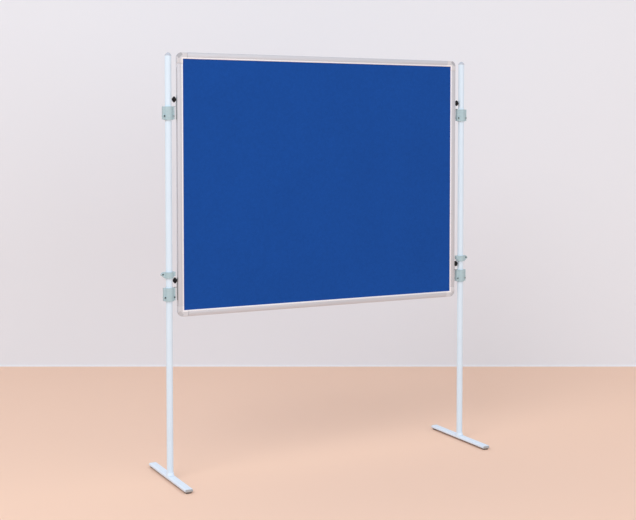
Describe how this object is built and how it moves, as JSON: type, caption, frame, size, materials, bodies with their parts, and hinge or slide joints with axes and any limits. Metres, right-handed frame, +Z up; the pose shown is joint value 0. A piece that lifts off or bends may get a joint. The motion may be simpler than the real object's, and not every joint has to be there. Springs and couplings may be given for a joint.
{
  "type": "free-standing partition panel",
  "caption": "Free-standing partition with a blue felt pinboard in an aluminium frame, clamped between round posts on flat T-feet.",
  "frame": {"origin": "on the floor, midway between the two posts and under the middle of the panel", "axes": "+X along the panel to its right end as seen from the front, +Y towards the back, +Z up; the front felt faces -Y"},
  "size_m": [1.66, 0.48, 1.945],
  "materials": {
    "powder_coat": "satin pale blue-white powder coat",
    "cap_plastic": "moulded, pale grey",
    "aluminium": "satin anodised, natural",
    "corner_plastic": "moulded, light grey",
    "end_plastic": "moulded, mid grey",
    "clamp_plastic": "satin moulding, pale grey-blue",
    "felt": "needled felt, blue",
    "board": "raw fibreboard",
    "steel": "zinc plated",
    "knob_plastic": "moulded, black"
  },
  "bodies": {
    "left_post": {"left_post_tube": "powder_coat", "left_post_cap": "cap_plastic", "left_post_plug": "steel", "left_foot_saddle": "powder_coat", "left_foot_bar": "powder_coat", "left_foot_bolt": "steel", "left_foot_front_cap": "end_plastic", "left_foot_rear_cap": "end_plastic"},
    "panel": {"core_board": "board", "front_felt": "felt", "back_felt": "felt", "top_rail": "aluminium", "bottom_rail": "aluminium", "left_rail": "aluminium", "right_rail": "aluminium", "top_left_corner": "corner_plastic", "top_right_corner": "corner_plastic", "bottom_left_corner": "corner_plastic", "bottom_right_corner": "corner_plastic", "upper_left_clamp_front": "clamp_plastic", "upper_left_clamp_rear": "clamp_plastic", "upper_left_inner_bolt": "steel", "upper_left_outer_bolt": "steel", "upper_left_hanger": "steel", "upper_left_sliding_nut": "steel", "upper_right_clamp_front": "clamp_plastic", "upper_right_clamp_rear": "clamp_plastic", "upper_right_inner_bolt": "steel", "upper_right_outer_bolt": "steel", "upper_right_hanger": "steel", "upper_right_sliding_nut": "steel", "lower_left_clamp_front": "clamp_plastic", "lower_left_clamp_rear": "clamp_plastic", "lower_left_inner_bolt": "steel", "lower_left_outer_bolt": "steel", "lower_left_hanger": "steel", "lower_left_sliding_nut": "steel", "lower_right_clamp_front": "clamp_plastic", "lower_right_clamp_rear": "clamp_plastic", "lower_right_inner_bolt": "steel", "lower_right_outer_bolt": "steel", "lower_right_hanger": "steel", "lower_right_sliding_nut": "steel"},
    "right_post": {"right_post_tube": "powder_coat", "right_post_cap": "cap_plastic", "right_post_plug": "steel", "right_foot_saddle": "powder_coat", "right_foot_bar": "powder_coat", "right_foot_bolt": "steel", "right_foot_front_cap": "end_plastic", "right_foot_rear_cap": "end_plastic"},
    "left_collar": {"left_lock_collar": "clamp_plastic", "left_collar_bolt": "steel"},
    "right_collar": {"right_lock_collar": "clamp_plastic", "right_collar_bolt": "steel"},
    "upper_left_knob": {"upper_left_knob": "knob_plastic"},
    "upper_right_knob": {"upper_right_knob": "knob_plastic"},
    "lower_left_knob": {"lower_left_knob": "knob_plastic"},
    "lower_right_knob": {"lower_right_knob": "knob_plastic"}
  },
  "joints": [
    {"name": "panel_height", "type": "slide", "parent": "left_post", "child": "panel", "axis": [0, 0, 1], "range_m": [-0.7, 0.22]},
    {"name": "right_post_height", "type": "slide", "parent": "panel", "child": "right_post", "axis": [0, 0, 1], "range_m": [-0.22, 0.7]},
    {"name": "left_collar_height", "type": "slide", "parent": "panel", "child": "left_collar", "axis": [0, 0, 1], "range_m": [0, 0.65]},
    {"name": "right_collar_height", "type": "slide", "parent": "panel", "child": "right_collar", "axis": [0, 0, 1], "range_m": [0, 0.65]},
    {"name": "upper_left_knob_turn", "type": "hinge", "parent": "panel", "child": "upper_left_knob", "pos_m": [-0.7615, 0, 1.732], "axis": [1, 0, 0], "continuous": true},
    {"name": "upper_right_knob_turn", "type": "hinge", "parent": "panel", "child": "upper_right_knob", "pos_m": [0.7615, 0, 1.732], "axis": [1, 0, 0], "continuous": true},
    {"name": "lower_left_knob_turn", "type": "hinge", "parent": "panel", "child": "lower_left_knob", "pos_m": [-0.7615, 0, 0.912], "axis": [1, 0, 0], "continuous": true},
    {"name": "lower_right_knob_turn", "type": "hinge", "parent": "panel", "child": "lower_right_knob", "pos_m": [0.7615, 0, 0.912], "axis": [1, 0, 0], "continuous": true}
  ],
  "couplings": [
    {"joint": "right_post_height", "follows": "panel_height", "ratio": -1}
  ]
}
